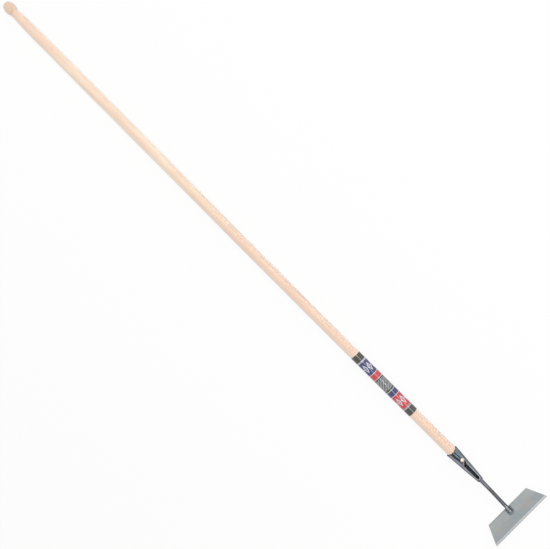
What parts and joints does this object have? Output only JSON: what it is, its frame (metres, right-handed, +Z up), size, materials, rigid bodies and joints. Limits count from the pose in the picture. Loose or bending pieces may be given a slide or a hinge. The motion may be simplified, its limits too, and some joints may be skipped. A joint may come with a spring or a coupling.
{
  "type": "dutch hoe",
  "caption": "Long-handled push hoe: flat trapezium steel blade on a cranked round neck, rolled steel socket, turned ash handle with a ball knob at its end.",
  "frame": {"origin": "on the ground, under the middle of the hoe's length and width, as it lies on the knob and the blade's back edge", "axes": "+X along the handle from the knob to the cutting edge, +Z up, the blade's upper face and the socket's seam on the +Z side"},
  "size_m": [1.8946, 0.1826, 0.0393],
  "materials": {
    "ash_wood": "turned and sanded, sealed",
    "printed_film": "shrunk printed film, satin",
    "dark_lacquered_steel": "clear-lacquered dark rolled steel",
    "bright_nail_steel": "bright",
    "blade_steel": "ground and lacquered, bright bevel",
    "weld_metal": "arc-weld bead with a heat tint"
  },
  "bodies": {
    "root": {"ash_handle": "ash_wood", "label_sleeve": "printed_film", "socket": "dark_lacquered_steel", "handle_nail": "bright_nail_steel", "neck_rod": "dark_lacquered_steel", "socket_weld": "dark_lacquered_steel", "blade": "blade_steel", "blade_weld": "weld_metal"}
  },
  "joints": []
}
